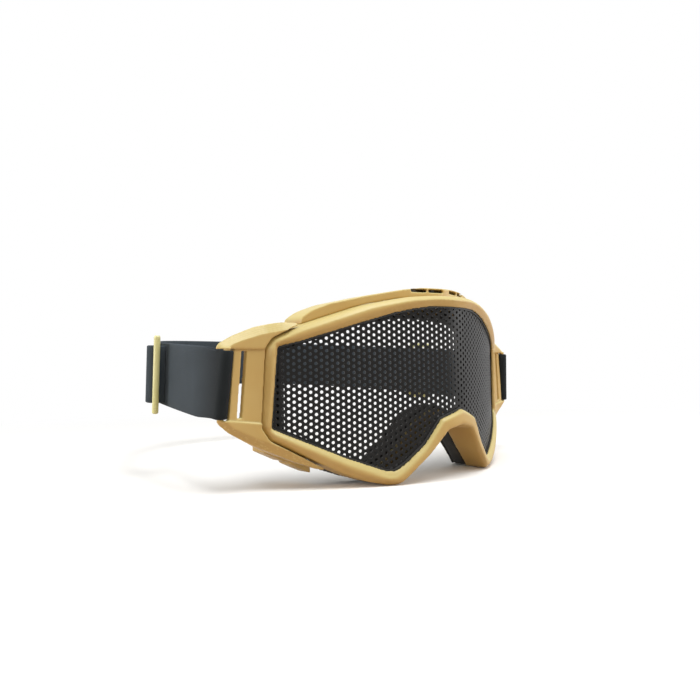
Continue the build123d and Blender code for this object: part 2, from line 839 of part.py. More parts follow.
def build():
    """Write every sub-part."""
    save(frame_shell(), "frame_shell")
    hood, cover = brow_hood()
    save(hood, "brow_vent_hood")
    save(brow_filter(cover), "brow_vent_foam")
    vent_cover, vent_core = lower_vent()
    both_sides(vent_cover, "lower_vent_cover")
    both_sides(vent_core, "lower_vent_foam")
    gasket, mesh, retainer = lens_stack()
    save(gasket, "lens_gasket")
    save(mesh, "mesh_lens")
    save(retainer, "lens_retainer")
    foam = seal_ring(foam_depth, fleece_thickness, foam_inset, foam_width)
    save(foam, "face_foam")
    fleece = seal_ring(fleece_thickness, 0, foam_inset, foam_width)
    save(fleece, "face_fleece")
    both_sides(outrigger(), "outrigger")
    both_sides(pivot_pins(), "pivot_pins")
    both_sides(strap_side(), "strap_side")
    save(strap_rear_band(), "strap_rear_band")
    both_sides(slider(), "strap_slider")
    both_sides(strap_bight(), "strap_bight")


build()
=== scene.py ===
import bmesh
import bpy
from math import asin, cos, pi, radians, sin, sqrt
from mathutils import Matrix, Vector
from mathutils.bvhtree import BVHTree


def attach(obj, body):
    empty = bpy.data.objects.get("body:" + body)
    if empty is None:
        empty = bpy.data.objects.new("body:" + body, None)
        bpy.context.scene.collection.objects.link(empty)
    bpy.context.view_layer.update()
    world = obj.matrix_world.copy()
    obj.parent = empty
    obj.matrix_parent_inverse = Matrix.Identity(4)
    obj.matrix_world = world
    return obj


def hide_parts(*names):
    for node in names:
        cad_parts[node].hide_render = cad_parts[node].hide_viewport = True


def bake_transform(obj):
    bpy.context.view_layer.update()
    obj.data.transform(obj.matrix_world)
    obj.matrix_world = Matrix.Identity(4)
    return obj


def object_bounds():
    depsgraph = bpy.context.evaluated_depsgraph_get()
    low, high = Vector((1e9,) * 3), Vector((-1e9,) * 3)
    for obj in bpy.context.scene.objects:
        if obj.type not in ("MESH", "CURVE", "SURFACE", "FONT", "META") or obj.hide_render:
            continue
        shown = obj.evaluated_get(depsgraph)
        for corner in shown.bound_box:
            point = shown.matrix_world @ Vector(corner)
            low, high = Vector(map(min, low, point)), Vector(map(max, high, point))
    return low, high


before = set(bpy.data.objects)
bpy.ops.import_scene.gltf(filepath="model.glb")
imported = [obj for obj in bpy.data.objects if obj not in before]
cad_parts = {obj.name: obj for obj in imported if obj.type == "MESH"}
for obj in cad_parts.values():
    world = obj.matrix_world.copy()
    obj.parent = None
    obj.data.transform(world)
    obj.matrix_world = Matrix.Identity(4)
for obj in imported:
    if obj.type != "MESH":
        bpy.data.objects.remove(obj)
cad_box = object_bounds()
bpy.ops.object.select_all(action="DESELECT")

# Camera, light and floor
# A short lens close to the goggles, level with the eyes, off the wearer's right front corner.
# Soft lamps above the brow, at the far side and behind, pale light all round, and a white floor.
view_turn, view_rise, view_roll = 0.7238867, 0.0373185, -0.0163494
ahead = Vector((sin(view_turn) * cos(view_rise), cos(view_turn) * cos(view_rise), sin(view_rise)))
level = Vector((cos(view_turn), -sin(view_turn), 0))
upright = level.cross(ahead)
across = cos(view_roll) * level + sin(view_roll) * upright
upward = cos(view_roll) * upright - sin(view_roll) * level
focal_pixels, picture_pixels = 604.19, 700
eye = bpy.data.cameras.new("eye")
eye.sensor_width = 36
eye.lens = eye.sensor_width * focal_pixels / picture_pixels
eye.clip_start = 0.01
camera = bpy.data.objects.new("eye", eye)
bpy.context.scene.collection.objects.link(camera)
seat = Vector((-0.24571, -0.22213, 0.00598))
turned = Matrix((across, upward, -ahead)).transposed().to_4x4()
camera.matrix_world = Matrix.Translation(seat) @ turned
bpy.context.scene.camera = camera
bpy.context.scene.view_settings.view_transform = "Standard"


def add_node(tree, kind, settings=None, **inputs):
    """A shader node with its settings and plain input values."""
    made = tree.nodes.new(kind)
    for name, value in (settings or {}).items():
        setattr(made, name, value)
    for name, value in inputs.items():
        made.inputs[name.replace("_", " ")].default_value = value
    return made


def feed(tree, socket, value):
    """Link an input to another socket, or set it to a plain value."""
    if isinstance(value, bpy.types.NodeSocket):
        tree.links.new(value, socket)
    else:
        socket.default_value = value


def math_node(tree, operation, *values):
    """A maths node fed by sockets or plain numbers."""
    made = add_node(tree, "ShaderNodeMath", {"operation": operation})
    for socket, value in zip(made.inputs, values):
        feed(tree, socket, value)
    return made.outputs[0]


studio = bpy.data.worlds.new("studio")
bpy.context.scene.world = studio
studio.use_nodes = True
sky = studio.node_tree
sky.nodes.clear()
rays = add_node(sky, "ShaderNodeLightPath")
seen = math_node(sky, "MAXIMUM", rays.outputs["Is Camera Ray"], rays.outputs["Is Transmission Ray"])
seen = math_node(sky, "MAXIMUM", seen, rays.outputs["Is Glossy Ray"])
facing = add_node(sky, "ShaderNodeSeparateXYZ")
sky.links.new(add_node(sky, "ShaderNodeTexCoord").outputs["Generated"], facing.inputs[0])
rise = add_node(sky, "ShaderNodeMapRange", From_Min=-0.3, From_Max=0.8)
sky.links.new(facing.outputs["Z"], rise.inputs["Value"])
soft = add_node(sky, "ShaderNodeMix", {"data_type": "RGBA"})
soft.inputs[6].default_value = (0.44, 0.37, 0.28, 1)
soft.inputs[7].default_value = (0.60, 0.59, 0.56, 1)
sky.links.new(rise.outputs[0], soft.inputs[0])
plain = add_node(sky, "ShaderNodeMix", {"data_type": "RGBA"})
plain.inputs[7].default_value = (1, 1, 1, 1)
sky.links.new(seen, plain.inputs[0])
sky.links.new(soft.outputs[2], plain.inputs[6])
glow = add_node(sky, "ShaderNodeBackground")
sky.links.new(plain.outputs[2], glow.inputs["Color"])
sky.links.new(glow.outputs[0], add_node(sky, "ShaderNodeOutputWorld").inputs[0])

for name, place, size, power in (
    ("brow_lamp", (-0.10, -0.22, 0.80), 0.45, 5.6),
    ("side_lamp", (0.62, -0.50, 0.25), 0.5, 2.8),
    ("rear_lamp", (-0.75, 0.38, 0.12), 0.5, 4.0),
):
    lamp = bpy.data.lights.new(name, "AREA")
    lamp.size = size
    lamp.energy = power
    holder = bpy.data.objects.new(name, lamp)
    bpy.context.scene.collection.objects.link(holder)
    holder.location = place
    holder.rotation_mode = "QUATERNION"
    holder.rotation_quaternion = (-Vector(place)).to_track_quat("-Z", "Y")

floor_gap = 0.0002
spot = (0, 0, cad_box[0].z - floor_gap)
bpy.ops.mesh.primitive_circle_add(vertices=96, radius=8, fill_type="NGON", location=spot)
floor = bpy.context.object
floor.name = "floor"
bpy.ops.object.transform_apply(location=True)
paper = bpy.data.materials.new("white_floor")
paper.use_nodes = True
tree = paper.node_tree
tree.nodes.clear()
coords = add_node(tree, "ShaderNodeTexCoord")
reach = add_node(tree, "ShaderNodeVectorMath", {"operation": "LENGTH"})
tree.links.new(coords.outputs["Object"], reach.inputs[0])
eased = {"interpolation_type": "SMOOTHSTEP"}
fade = add_node(tree, "ShaderNodeMapRange", eased, From_Min=0.16, From_Max=0.6)
tree.links.new(reach.outputs["Value"], fade.inputs["Value"])
rays = add_node(tree, "ShaderNodeLightPath")
seen = math_node(tree, "MAXIMUM", rays.outputs["Is Camera Ray"], rays.outputs["Is Glossy Ray"])
near = add_node(tree, "ShaderNodeBsdfDiffuse")
bounce = add_node(tree, "ShaderNodeMix", {"data_type": "RGBA"})
bounce.inputs[6].default_value = (0.55, 0.46, 0.35, 1)
bounce.inputs[7].default_value = (0.93, 0.93, 0.93, 1)
tree.links.new(seen, bounce.inputs[0])
tree.links.new(bounce.outputs[2], near.inputs["Color"])
far = add_node(tree, "ShaderNodeEmission", Color=(1, 1, 1, 1), Strength=1)
mixed = add_node(tree, "ShaderNodeMixShader")
tree.links.new(math_node(tree, "MULTIPLY", seen, fade.outputs[0]), mixed.inputs[0])
tree.links.new(near.outputs[0], mixed.inputs[1])
tree.links.new(far.outputs[0], mixed.inputs[2])
tree.links.new(mixed.outputs[0], add_node(tree, "ShaderNodeOutputMaterial").inputs[0])
floor.data.materials.append(paper)

# Frame shell
# The bezel, the eyecup's walls and the rear flange: one injection moulding in tan plastic,
# with softly rounded edges and a fine grain from the mould.


def new_group(name, inputs):
    """An empty shader group: the inputs given, and a colour, a roughness and a height out."""
    group = bpy.data.node_groups.new(name, "ShaderNodeTree")
    for label, kind, value in inputs:
        socket = group.interface.new_socket(label, in_out="INPUT", socket_type=kind)
        socket.default_value = value
    group.interface.new_socket("Colour", in_out="OUTPUT", socket_type="NodeSocketColor")
    for label in ("Roughness", "Height"):
        group.interface.new_socket(label, in_out="OUTPUT", socket_type="NodeSocketFloat")
    return group, group.nodes.new("NodeGroupInput"), group.nodes.new("NodeGroupOutput")


def mix_colours(tree, share, first, second, blend="MIX"):
    """Mix two colours, each a socket or a plain value."""
    made = add_node(tree, "ShaderNodeMix", {"data_type": "RGBA", "blend_type": blend})
    for index, value in ((0, share), (6, first), (7, second)):
        feed(tree, made.inputs[index], value)
    return made.outputs[2]


def ramp_up(tree, value, low, high, bottom=0.0, top=1.0):
    """A value stretched from one span to another and held at its ends."""
    made = add_node(tree, "ShaderNodeMapRange", From_Min=low, From_Max=high, To_Min=bottom, To_Max=top)
    tree.links.new(value, made.inputs["Value"])
    return made.outputs[0]


def noise_value(tree, place, scale, detail=2.0, roughness=0.5):
    """Smooth noise at a place; the scale is in cells per metre."""
    made = add_node(tree, "ShaderNodeTexNoise", Detail=detail, Roughness=roughness)
    feed(tree, made.inputs["Vector"], place)
    feed(tree, made.inputs["Scale"], scale)
    return made.outputs[0]


plastic_skin, given, out = new_group(
    "plastic_skin",
    [("Colour", "NodeSocketColor", (0.6, 0.4, 0.15, 1)),
     ("Rubbed Colour", "NodeSocketColor", (0.8, 0.6, 0.3, 1)),
     ("Bleached Colour", "NodeSocketColor", (0.7, 0.6, 0.3, 1)), ("Painted Top Light Amount", "NodeSocketFloat", 0.0),
     ("Grain Scale", "NodeSocketFloat", 3500.0), ("Roughness", "NodeSocketFloat", 0.42),
     ("Rub", "NodeSocketFloat", 0.35)],
)
place = add_node(plastic_skin, "ShaderNodeTexCoord").outputs["Object"]
shape = add_node(plastic_skin, "ShaderNodeNewGeometry")
flow = ramp_up(plastic_skin, noise_value(plastic_skin, place, 42.0, 3.0), 0.35, 0.65, 0.0, 0.22)
tint = mix_colours(plastic_skin, flow, given.outputs["Colour"], given.outputs["Rubbed Colour"])
edge = ramp_up(plastic_skin, shape.outputs["Pointiness"], 0.51, 0.57)
edge = math_node(plastic_skin, "MULTIPLY", edge, given.outputs["Rub"])
tint = mix_colours(plastic_skin, edge, tint, given.outputs["Rubbed Colour"])
# Painted highlight: faces that turn upwards are mixed towards a lighter, yellower colour, standing in for
# the light from above.
way = add_node(plastic_skin, "ShaderNodeSeparateXYZ")
plastic_skin.links.new(shape.outputs["Normal"], way.inputs[0])
painted_top_light_mask = ramp_up(plastic_skin, way.outputs["Z"], -0.1, 0.45)
painted_top_light_mask = math_node(plastic_skin, "MULTIPLY", painted_top_light_mask, given.outputs["Painted Top Light Amount"])
tint = mix_colours(plastic_skin, painted_top_light_mask, tint, given.outputs["Bleached Colour"])
# Painted shade: hollows and creases, found by low pointiness, are darkened towards a deep brown.
painted_crease_shade = ramp_up(plastic_skin, shape.outputs["Pointiness"], 0.44, 0.5, 0.55, 0.0)
tint = mix_colours(plastic_skin, painted_crease_shade, tint, (0.20, 0.11, 0.04, 1), "MULTIPLY")
plastic_skin.links.new(tint, out.inputs["Colour"])
grain = noise_value(plastic_skin, place, given.outputs["Grain Scale"], 3.0, 0.6)
smear = noise_value(plastic_skin, place, 120.0, 3.0)
rough = math_node(plastic_skin, "MULTIPLY_ADD", grain, 0.10, given.outputs["Roughness"])
rough = math_node(plastic_skin, "MULTIPLY_ADD", smear, 0.14, rough)
rough = math_node(plastic_skin, "SUBTRACT", rough, 0.12)
plastic_skin.links.new(rough, out.inputs["Roughness"])
plastic_skin.links.new(grain, out.inputs["Height"])


def skin_material(name, group, values, bump, depth, **shader):
    """A material whose colour, roughness and bump come from one surface group."""
    made = bpy.data.materials.new(name)
    made.use_nodes = True
    tree = made.node_tree
    body = tree.nodes["Principled BSDF"]
    for label, value in shader.items():
        body.inputs[label.replace("_", " ")].default_value = value
    skin = add_node(tree, "ShaderNodeGroup", {"node_tree": group})
    for label, value in values.items():
        skin.inputs[label].default_value = value
    raised = add_node(tree, "ShaderNodeBump", Strength=bump, Distance=depth)
    tree.links.new(skin.outputs["Height"], raised.inputs["Height"])
    tree.links.new(skin.outputs["Colour"], body.inputs["Base Color"])
    tree.links.new(skin.outputs["Roughness"], body.inputs["Roughness"])
    tree.links.new(raised.outputs[0], body.inputs["Normal"])
    return made


# The tan plastic carries a painted highlight: its upward faces are painted lighter and yellower.
tan_plastic = skin_material(
    "tan_plastic", plastic_skin,
    {"Colour": (0.51, 0.318, 0.098, 1), "Rubbed Colour": (0.66, 0.51, 0.22, 1),
     "Bleached Colour": (0.57, 0.49, 0.20, 1), "Painted Top Light Amount": 0.8, "Roughness": 0.42},
    bump=0.25, depth=0.00008, IOR=1.48,
)


def add_piece(name, mesh):
    """A new piece from a mesh, the only one selected and active."""
    piece = bpy.data.objects.new(name, mesh)
    bpy.context.scene.collection.objects.link(piece)
    bpy.ops.object.select_all(action="DESELECT")
    piece.select_set(True)
    bpy.context.view_layer.objects.active = piece
    return piece


weld_distance = 0.000002


def softened_copy(node, name, material, voxel, rounds):
    """A piece that takes a CAD solid's place: the same form with its edges softened."""
    piece = add_piece(name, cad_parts[node].data.copy())
    bpy.ops.object.mode_set(mode="EDIT")
    bpy.ops.mesh.select_all(action="SELECT")
    bpy.ops.mesh.remove_doubles(threshold=weld_distance)
    bpy.ops.object.mode_set(mode="OBJECT")
    remesh = piece.modifiers.new("even_skin", "REMESH")
    remesh.mode = "VOXEL"
    remesh.voxel_size = voxel
    bpy.ops.object.modifier_apply(modifier=remesh.name)
    relax = piece.modifiers.new("soft_edges", "SMOOTH")
    relax.factor = 0.5
    relax.iterations = rounds
    bpy.ops.object.modifier_apply(modifier=relax.name)
    bpy.ops.object.shade_smooth()
    piece.data.materials.clear()
    piece.data.materials.append(material)
    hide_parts(node)
    return piece


shell = softened_copy(
    "frame_shell", "bezel_and_eyecup", tan_plastic, voxel=0.00062, rounds=5
)
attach(shell, "frame")

# Brow vent hood
# A low hollow hood clipped over the vents in the brow, moulded in the same tan plastic,
# with narrow air slots along its front edge.
hood = softened_copy("brow_vent_hood", "brow_hood", tan_plastic, voxel=0.0004, rounds=5)
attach(hood, "frame")

# Vent foams
# Strips of dark open-cell foam that filter the air inside the brow hood and the lower covers.
# They are cut from sheet and pushed in, so their edges are a little soft.
foam_skin, given, out = new_group(
    "foam_skin",
    [("Colour", "NodeSocketColor", (0.05, 0.05, 0.05, 1)), ("Pore Scale", "NodeSocketFloat", 1400.0)],
)
place = add_node(foam_skin, "ShaderNodeTexCoord").outputs["Object"]
pores = add_node(foam_skin, "ShaderNodeTexVoronoi")
foam_skin.links.new(place, pores.inputs["Vector"])
foam_skin.links.new(given.outputs["Pore Scale"], pores.inputs["Scale"])
depth = ramp_up(foam_skin, pores.outputs["Distance"], 0.0, 0.55)
tint = mix_colours(foam_skin, depth, (0.004, 0.004, 0.004, 1), given.outputs["Colour"])
cloud = ramp_up(foam_skin, noise_value(foam_skin, place, 90.0, 3.0), 0.3, 0.7, 0.0, 0.3)
foam_skin.links.new(mix_colours(foam_skin, cloud, tint, (0.1, 0.1, 0.1, 1)), out.inputs["Colour"])
foam_skin.links.new(ramp_up(foam_skin, depth, 0.0, 1.0, 1.0, 0.85), out.inputs["Roughness"])
foam_skin.links.new(depth, out.inputs["Height"])
filter_foam = skin_material(
    "filter_foam", foam_skin, {"Colour": (0.045, 0.040, 0.034, 1), "Pore Scale": 1100.0},
    bump=0.7, depth=0.0003,
)
for node in ("brow_vent_foam", "lower_vent_foam_left", "lower_vent_foam_right"):
    strip = softened_copy(node, node + "_strip", filter_foam, voxel=0.0005, rounds=4)
    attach(strip, "frame")

# Lower vent covers
# Small louvred covers under the outer lower corners of the eyecup, moulded in tan plastic.
for side in ("left", "right"):
    node, name = "lower_vent_cover_" + side, "cheek_vent_" + side
    cover = softened_copy(node, name, tan_plastic, voxel=0.0003, rounds=4)
    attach(cover, "frame")

# Lens gasket and lens retainer
# A thin black rubber ring in front of the mesh sheet and a stiffer black plastic ring behind it,
# which clamp the sheet against the bezel's lip.
black_rubber = skin_material(
    "black_rubber", plastic_skin,
    {"Colour": (0.012, 0.012, 0.012, 1), "Rubbed Colour": (0.03, 0.03, 0.03, 1),
     "Roughness": 0.62, "Rub": 0.2},
    bump=0.2, depth=0.00005,
)
black_plastic = skin_material(
    "black_plastic", plastic_skin,
    {"Colour": (0.016, 0.016, 0.017, 1), "Rubbed Colour": (0.05, 0.05, 0.05, 1),
     "Roughness": 0.5, "Rub": 0.3},
    bump=0.3, depth=0.00008,
)
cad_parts["lens_gasket"].material_slots[0].material = black_rubber
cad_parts["lens_retainer"].material_slots[0].material = black_plastic

# Mesh lens
# A black coated steel sheet 0.8 mm thick, punched with 1.6 mm round holes on a 3 mm triangular pitch,
# bent in two wide arcs that meet in a soft bend over the nose.
hole_pitch = 0.003
hole_radius = 0.0008
hole_sides = 12
columns_aside, rows_below, rows_above = 42, 18, 16
keys_per_metre = 20000
sheet_thickness = 0.0008
lens_arc, nose_arc = 0.235, 0.030
lens_turn = radians(14.9)
lens_front = 0.028
side_centre = (-lens_arc * sin(lens_turn), lens_arc * cos(lens_turn) - lens_front)
joint_turn = asin(-side_centre[0] / (lens_arc - nose_arc))
nose_centre = side_centre[1] - (lens_arc - nose_arc) * cos(joint_turn)
nose_length = nose_arc * joint_turn


def sheet_point(along, height):
    """Place on the bent sheet, from the distance along it and the height."""
    length = abs(along)
    side = 1 if along > 0 else -1
    if length < nose_length:
        turn = length / nose_arc
        return (side * nose_arc * sin(turn), nose_centre - nose_arc * cos(turn), height)
    turn = joint_turn + (length - nose_length) / lens_arc
    return (side * (side_centre[0] + lens_arc * sin(turn)), side_centre[1] - lens_arc * cos(turn), height)


cup_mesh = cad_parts["frame_shell"].data
cup_spots = [vert.co for vert in cup_mesh.vertices]
cup = BVHTree.FromPolygons(cup_spots, [face.vertices for face in cup_mesh.polygons])


def in_cup(spot):
    """True where a place on the sheet has the cup's wall above and below it."""
    for way in (1, -1):
        found, normal = cup.ray_cast(Vector(spot), (0, 0, way))[:2]
        if found is None or normal.z * way > 0:
            return False
    return True


def punched_sheet():
    """The whole sheet as hexagonal cells, each with a round hole, cut to the lens outline."""
    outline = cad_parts["mesh_lens"]
    corner = hole_pitch / sqrt(3)
    sheet = bmesh.new()
    shared = {}

    def point(along, height):
        key = (round(along * keys_per_metre), round(height * keys_per_metre))
        if key not in shared:
            shared[key] = sheet.verts.new(sheet_point(along, height))
        return shared[key]

    for column in range(-columns_aside, columns_aside + 1):
        for row in range(-rows_below, rows_above + 1):
            middle = column * corner * 1.5
            height = (row + (column % 2) / 2) * hole_pitch
            rim = []
            for step in range(hole_sides):
                turn = step * 2 * pi / hole_sides
                radius = corner if step % 2 == 0 else corner * sqrt(3) / 2
                rim.append((middle + radius * cos(turn), height + radius * sin(turn)))
            if not any(in_cup(sheet_point(along, up)) for along, up in rim):
                continue
            outer = [point(along, up) for along, up in rim]
            inner = []
            for step in range(hole_sides):
                turn = step * 2 * pi / hole_sides
                place = sheet_point(middle + hole_radius * cos(turn), height + hole_radius * sin(turn))
                inner.append(sheet.verts.new(place))
            for step in range(hole_sides):
                after = (step + 1) % hole_sides
                sheet.faces.new((outer[step], outer[after], inner[after], inner[step]))
    for vert in sheet.verts:
        if not in_cup(vert.co):
            vert.co = outline.closest_point_on_mesh(vert.co)[1]
    bmesh.ops.recalc_face_normals(sheet, faces=sheet.faces)
    made = bpy.data.meshes.new("punched_sheet")
    sheet.to_mesh(made)
    sheet.free()
    return made


mesh_lens = add_piece("punched_lens", punched_sheet())
wall = mesh_lens.modifiers.new("gauge", "SOLIDIFY")
wall.thickness = sheet_thickness
wall.offset = 0
bpy.ops.object.modifier_apply(modifier=wall.name)
bpy.ops.object.shade_smooth_by_angle(angle=radians(40))

coat_skin, given, out = new_group(
    "coat_skin",
    [("Colour", "NodeSocketColor", (0.01, 0.01, 0.01, 1)),
     ("Bare Colour", "NodeSocketColor", (0.2, 0.2, 0.2, 1)), ("Roughness", "NodeSocketFloat", 0.42)],
)
place = add_node(coat_skin, "ShaderNodeTexCoord").outputs["Object"]
flecks = ramp_up(coat_skin, noise_value(coat_skin, place, 900.0, 2.0), 0.66, 0.74, 0.0, 0.35)
haze = ramp_up(coat_skin, noise_value(coat_skin, place, 60.0, 3.0), 0.3, 0.75, 0.0, 0.10)
tint = mix_colours(coat_skin, haze, given.outputs["Colour"], given.outputs["Bare Colour"])
coat_skin.links.new(mix_colours(coat_skin, flecks, tint, given.outputs["Bare Colour"]), out.inputs["Colour"])
peel = noise_value(coat_skin, place, 2600.0, 2.0)
rough = math_node(coat_skin, "MULTIPLY_ADD", peel, 0.12, given.outputs["Roughness"])
coat_skin.links.new(rough, out.inputs["Roughness"])
coat_skin.links.new(peel, out.inputs["Height"])
black_coat = skin_material(
    "black_coat", coat_skin,
    {"Colour": (0.004, 0.0035, 0.0035, 1), "Bare Colour": (0.05, 0.046, 0.043, 1), "Roughness": 0.34},
    bump=0.3, depth=0.00006, IOR=1.3,
)
mesh_lens.data.materials.append(black_coat)
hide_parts("mesh_lens")
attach(mesh_lens, "frame")

# Face seal
# A ring of closed-cell foam 9 mm deep, glued to the eyecup's rear flange, with a brushed
# fleece skin laminated to the side that rests on the face.
seal_foam = skin_material(
    "seal_foam", foam_skin, {"Colour": (0.030, 0.030, 0.031, 1), "Pore Scale": 2600.0},
    bump=0.35, depth=0.00015,
)
fleece_skin, given, out = new_group(
    "fleece_skin",
    [("Colour", "NodeSocketColor", (0.02, 0.02, 0.02, 1)),
     ("Tip Colour", "NodeSocketColor", (0.08, 0.08, 0.08, 1))],
)
place = add_node(fleece_skin, "ShaderNodeTexCoord").outputs["Object"]
pile = noise_value(fleece_skin, place, 1900.0, 5.0, 0.7)
nap = noise_value(fleece_skin, place, 160.0, 3.0)
tips = ramp_up(fleece_skin, pile, 0.4, 0.65)
share = math_node(fleece_skin, "MULTIPLY", tips, ramp_up(fleece_skin, nap, 0.3, 0.7, 0.5, 1))
tint = mix_colours(fleece_skin, share, given.outputs["Colour"], given.outputs["Tip Colour"])
fleece_skin.links.new(tint, out.inputs["Colour"])
fleece_skin.links.new(ramp_up(fleece_skin, pile, 0.3, 0.7, 1.0, 0.9), out.inputs["Roughness"])
fleece_skin.links.new(pile, out.inputs["Height"])
fleece = skin_material(
    "fleece", fleece_skin,
    {"Colour": (0.014, 0.014, 0.015, 1), "Tip Colour": (0.06, 0.06, 0.062, 1)},
    bump=0.8, depth=0.0004, Sheen_Weight=0.4,
)
seal = softened_copy("face_foam", "face_seal_pad", seal_foam, voxel=0.0011, rounds=7)
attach(seal, "frame")
skin = softened_copy("face_fleece", "face_seal_fleece", fleece, voxel=0.0006, rounds=3)
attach(skin, "frame")

# Hinge pins
# Short plain steel pins pressed into bosses in the frame, on which each outrigger swings.
steel = skin_material(
    "pin_steel", coat_skin,
    {"Colour": (0.55, 0.54, 0.52, 1), "Bare Colour": (0.75, 0.74, 0.72, 1), "Roughness": 0.28},
    bump=0.2, depth=0.00003, Metallic=1.0,
)
for side in ("left", "right"):
    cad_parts["pivot_pins_" + side].material_slots[0].material = steel

# Outriggers
# The clips at the temples: two arms that hug the frame's corner, a recessed web with a spare slot,
# and the round bar that the strap folds over. Each is one tan moulding.
for side in ("left", "right"):
    node, name = "outrigger_" + side, "strap_clip_" + side
    clip = softened_copy(node, name, tan_plastic, voxel=0.00032, rounds=10)
    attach(clip, "outrigger_" + side + "_body")

# Strap sides
# Grey elastic webbing 34 mm wide and 1.4 mm thick. From the back of the head it comes forward through
# the slider, folds over the outrigger's bar and runs back inside to its cut end behind the slider.
# It is painted darker towards the fold: painted shade where the clip covers it and the webbing turns away
# from the light.
strap_rise = radians(4.3)
bar_place = (0.1077, 0.0206, 0.00135)
bar_lean = 0.08
webbing_thickness = 0.0014
strap_width, fold_width = 0.034, 0.0312
run_turn = radians(9.3)
run_arc = 0.430
run_length = run_arc * run_turn
slider_zone, joint_length, tail_length = 0.009, 0.026, 0.013
temple_arc, temple_turn = 0.110, radians(28)
head_back = 0.1865
layer_gap, fold_gap, bar_radius = 0.0003, 0.0002, 0.0015
ease_power = 2.2
flare_start, flare_length = 0.0025, 0.022
edge_round, edge_lift_share = 0.0003, 0.8
run_steps, fold_steps, tail_steps, band_steps, bend_steps = 52, 12, 44, 48, 12
layer_middle = (webbing_thickness + layer_gap) / 2
fold_ring = bar_radius + fold_gap + webbing_thickness / 2


def step_along(x, back, arc, length, turn):
    """Go on along a straight or an arc that turns towards the middle of the head."""
    if arc is None:
        return x - length * sin(turn), back + length * cos(turn), turn
    end = turn + length / arc
    return x - arc * (cos(turn) - cos(end)), back + arc * (sin(end) - sin(turn)), end


def strap_route():
    """The strap's path on one side as (arc, length) parts, from the bar to the back of the head."""
    parts = [(run_arc, run_length), (None, slider_zone), (temple_arc, temple_arc * (temple_turn - run_turn))]
    x, back, turn = bar_place[0], 0.0, 0.0
    for arc, length in parts:
        x, back, turn = step_along(x, back, arc, length, turn)
    s, c = sin(turn), cos(turn)
    straight = ((head_back - back) * c - x * (1 - s)) / (c * c - s * (1 - s))
    last_arc = (x - straight * s) / c
    return parts + [(None, straight), (last_arc, last_arc * (pi / 2 - turn))]


route = strap_route()
route_length = sum(length for arc, length in route)


def route_at(distance):
    """Place and heading on the strap's path at a distance from the bar."""
    x, back, turn = bar_place[0], 0.0, 0.0
    for arc, length in route:
        if distance <= length or (arc, length) == route[-1]:
            return step_along(x, back, arc, min(distance, length), turn)
        x, back, turn = step_along(x, back, arc, length, turn)
        distance -= length


def in_row(x, back, up, side):
    """From the strap's tilted plane to the row's frame."""
    return Vector((
        side * x,
        bar_place[1] + back * cos(strap_rise) - up * sin(strap_rise),
        bar_place[2] + back * sin(strap_rise) + up * cos(strap_rise),
    ))


def strap_half_width(distance):
    """Half the webbing's width: squeezed in the clip, full width further back."""
    flare = min(max(distance - flare_start, 0) / flare_length, 1)
    flare = flare * flare * (3 - 2 * flare)
    return (fold_width + (strap_width - fold_width) * flare) / 2


def layer_offset(distance):
    """How far a layer lies from the path's middle line: they close up early, clear of the slider."""
    share = min(distance / run_length, 1)
    return layer_middle + (fold_ring - layer_middle) * (1 - share) ** ease_power


def strap_station(distance, outward):
    """Centre, outward direction, half width and lean of the webbing at one place."""
    x, back, turn = route_at(distance)
    out_way = (cos(turn), sin(turn))
    lean = bar_lean * (1 - min(distance / run_length, 1)) ** ease_power
    centre = (x + outward * out_way[0], back + outward * out_way[1])
    return centre, out_way, strap_half_width(distance), lean


def webbing(name, stations, side, material):
    """A woven band through stations: rounded edges, and a UV map in metres along and across it."""
    band = bmesh.new()
    weave = band.loops.layers.uv.new("weave")
    half = webbing_thickness / 2
    edge_lift = half * edge_lift_share
    across = [-0.96, -0.75, -0.5, -0.25, 0, 0.25, 0.5, 0.75, 0.96]
    rings, marks = [], []
    travelled, before = 0.0, None
    for centre, out_way, half_width, lean in stations:
        ring, mark = [], []
        loop = [(share * half_width, half) for share in across]
        inset = half_width - edge_round
        loop += [(inset, edge_lift), (half_width, 0), (inset, -edge_lift)]
        loop += [(share * half_width, -half) for share in reversed(across)]
        loop += [(-inset, -edge_lift), (-half_width, 0), (-inset, edge_lift)]
        for up, lift in loop:
            x = centre[0] + lift * out_way[0] - up * lean
            back = centre[1] + lift * out_way[1]
            ring.append(band.verts.new(in_row(x, back, up, side)))
            mark.append(up)
        if before is not None:
            travelled += sqrt((centre[0] - before[0]) ** 2 + (centre[1] - before[1]) ** 2)
        before = centre
        rings.append(ring)
        marks.append((travelled, mark))
    count = len(rings[0])
    for first in range(len(rings) - 1):
        for index in range(count):
            after = (index + 1) % count
            near, far = rings[first], rings[first + 1]
            face = band.faces.new((near[index], near[after], far[after], far[index]))
            near, far = marks[first], marks[first + 1]
            spots = [
                (near[0], near[1][index]), (near[0], near[1][after]),
                (far[0], far[1][after]), (far[0], far[1][index]),
            ]
            for corner, spot in zip(face.loops, spots):
                corner[weave].uv = spot
    for ring in (rings[0], rings[-1]):
        band.faces.new(ring)
    bmesh.ops.recalc_face_normals(band, faces=band.faces)
    made = bpy.data.meshes.new(name)
    band.to_mesh(made)
    band.free()
    made.materials.append(material)
    piece = add_piece(name, made)
    bpy.ops.object.shade_smooth_by_angle(angle=radians(50))
    return piece


def wave(tree, value, pitch):
    """A sine wave of one pitch along a value."""
    turns = math_node(tree, "DIVIDE", value, pitch)
    return math_node(tree, "SINE", math_node(tree, "MULTIPLY", turns, 2 * pi))


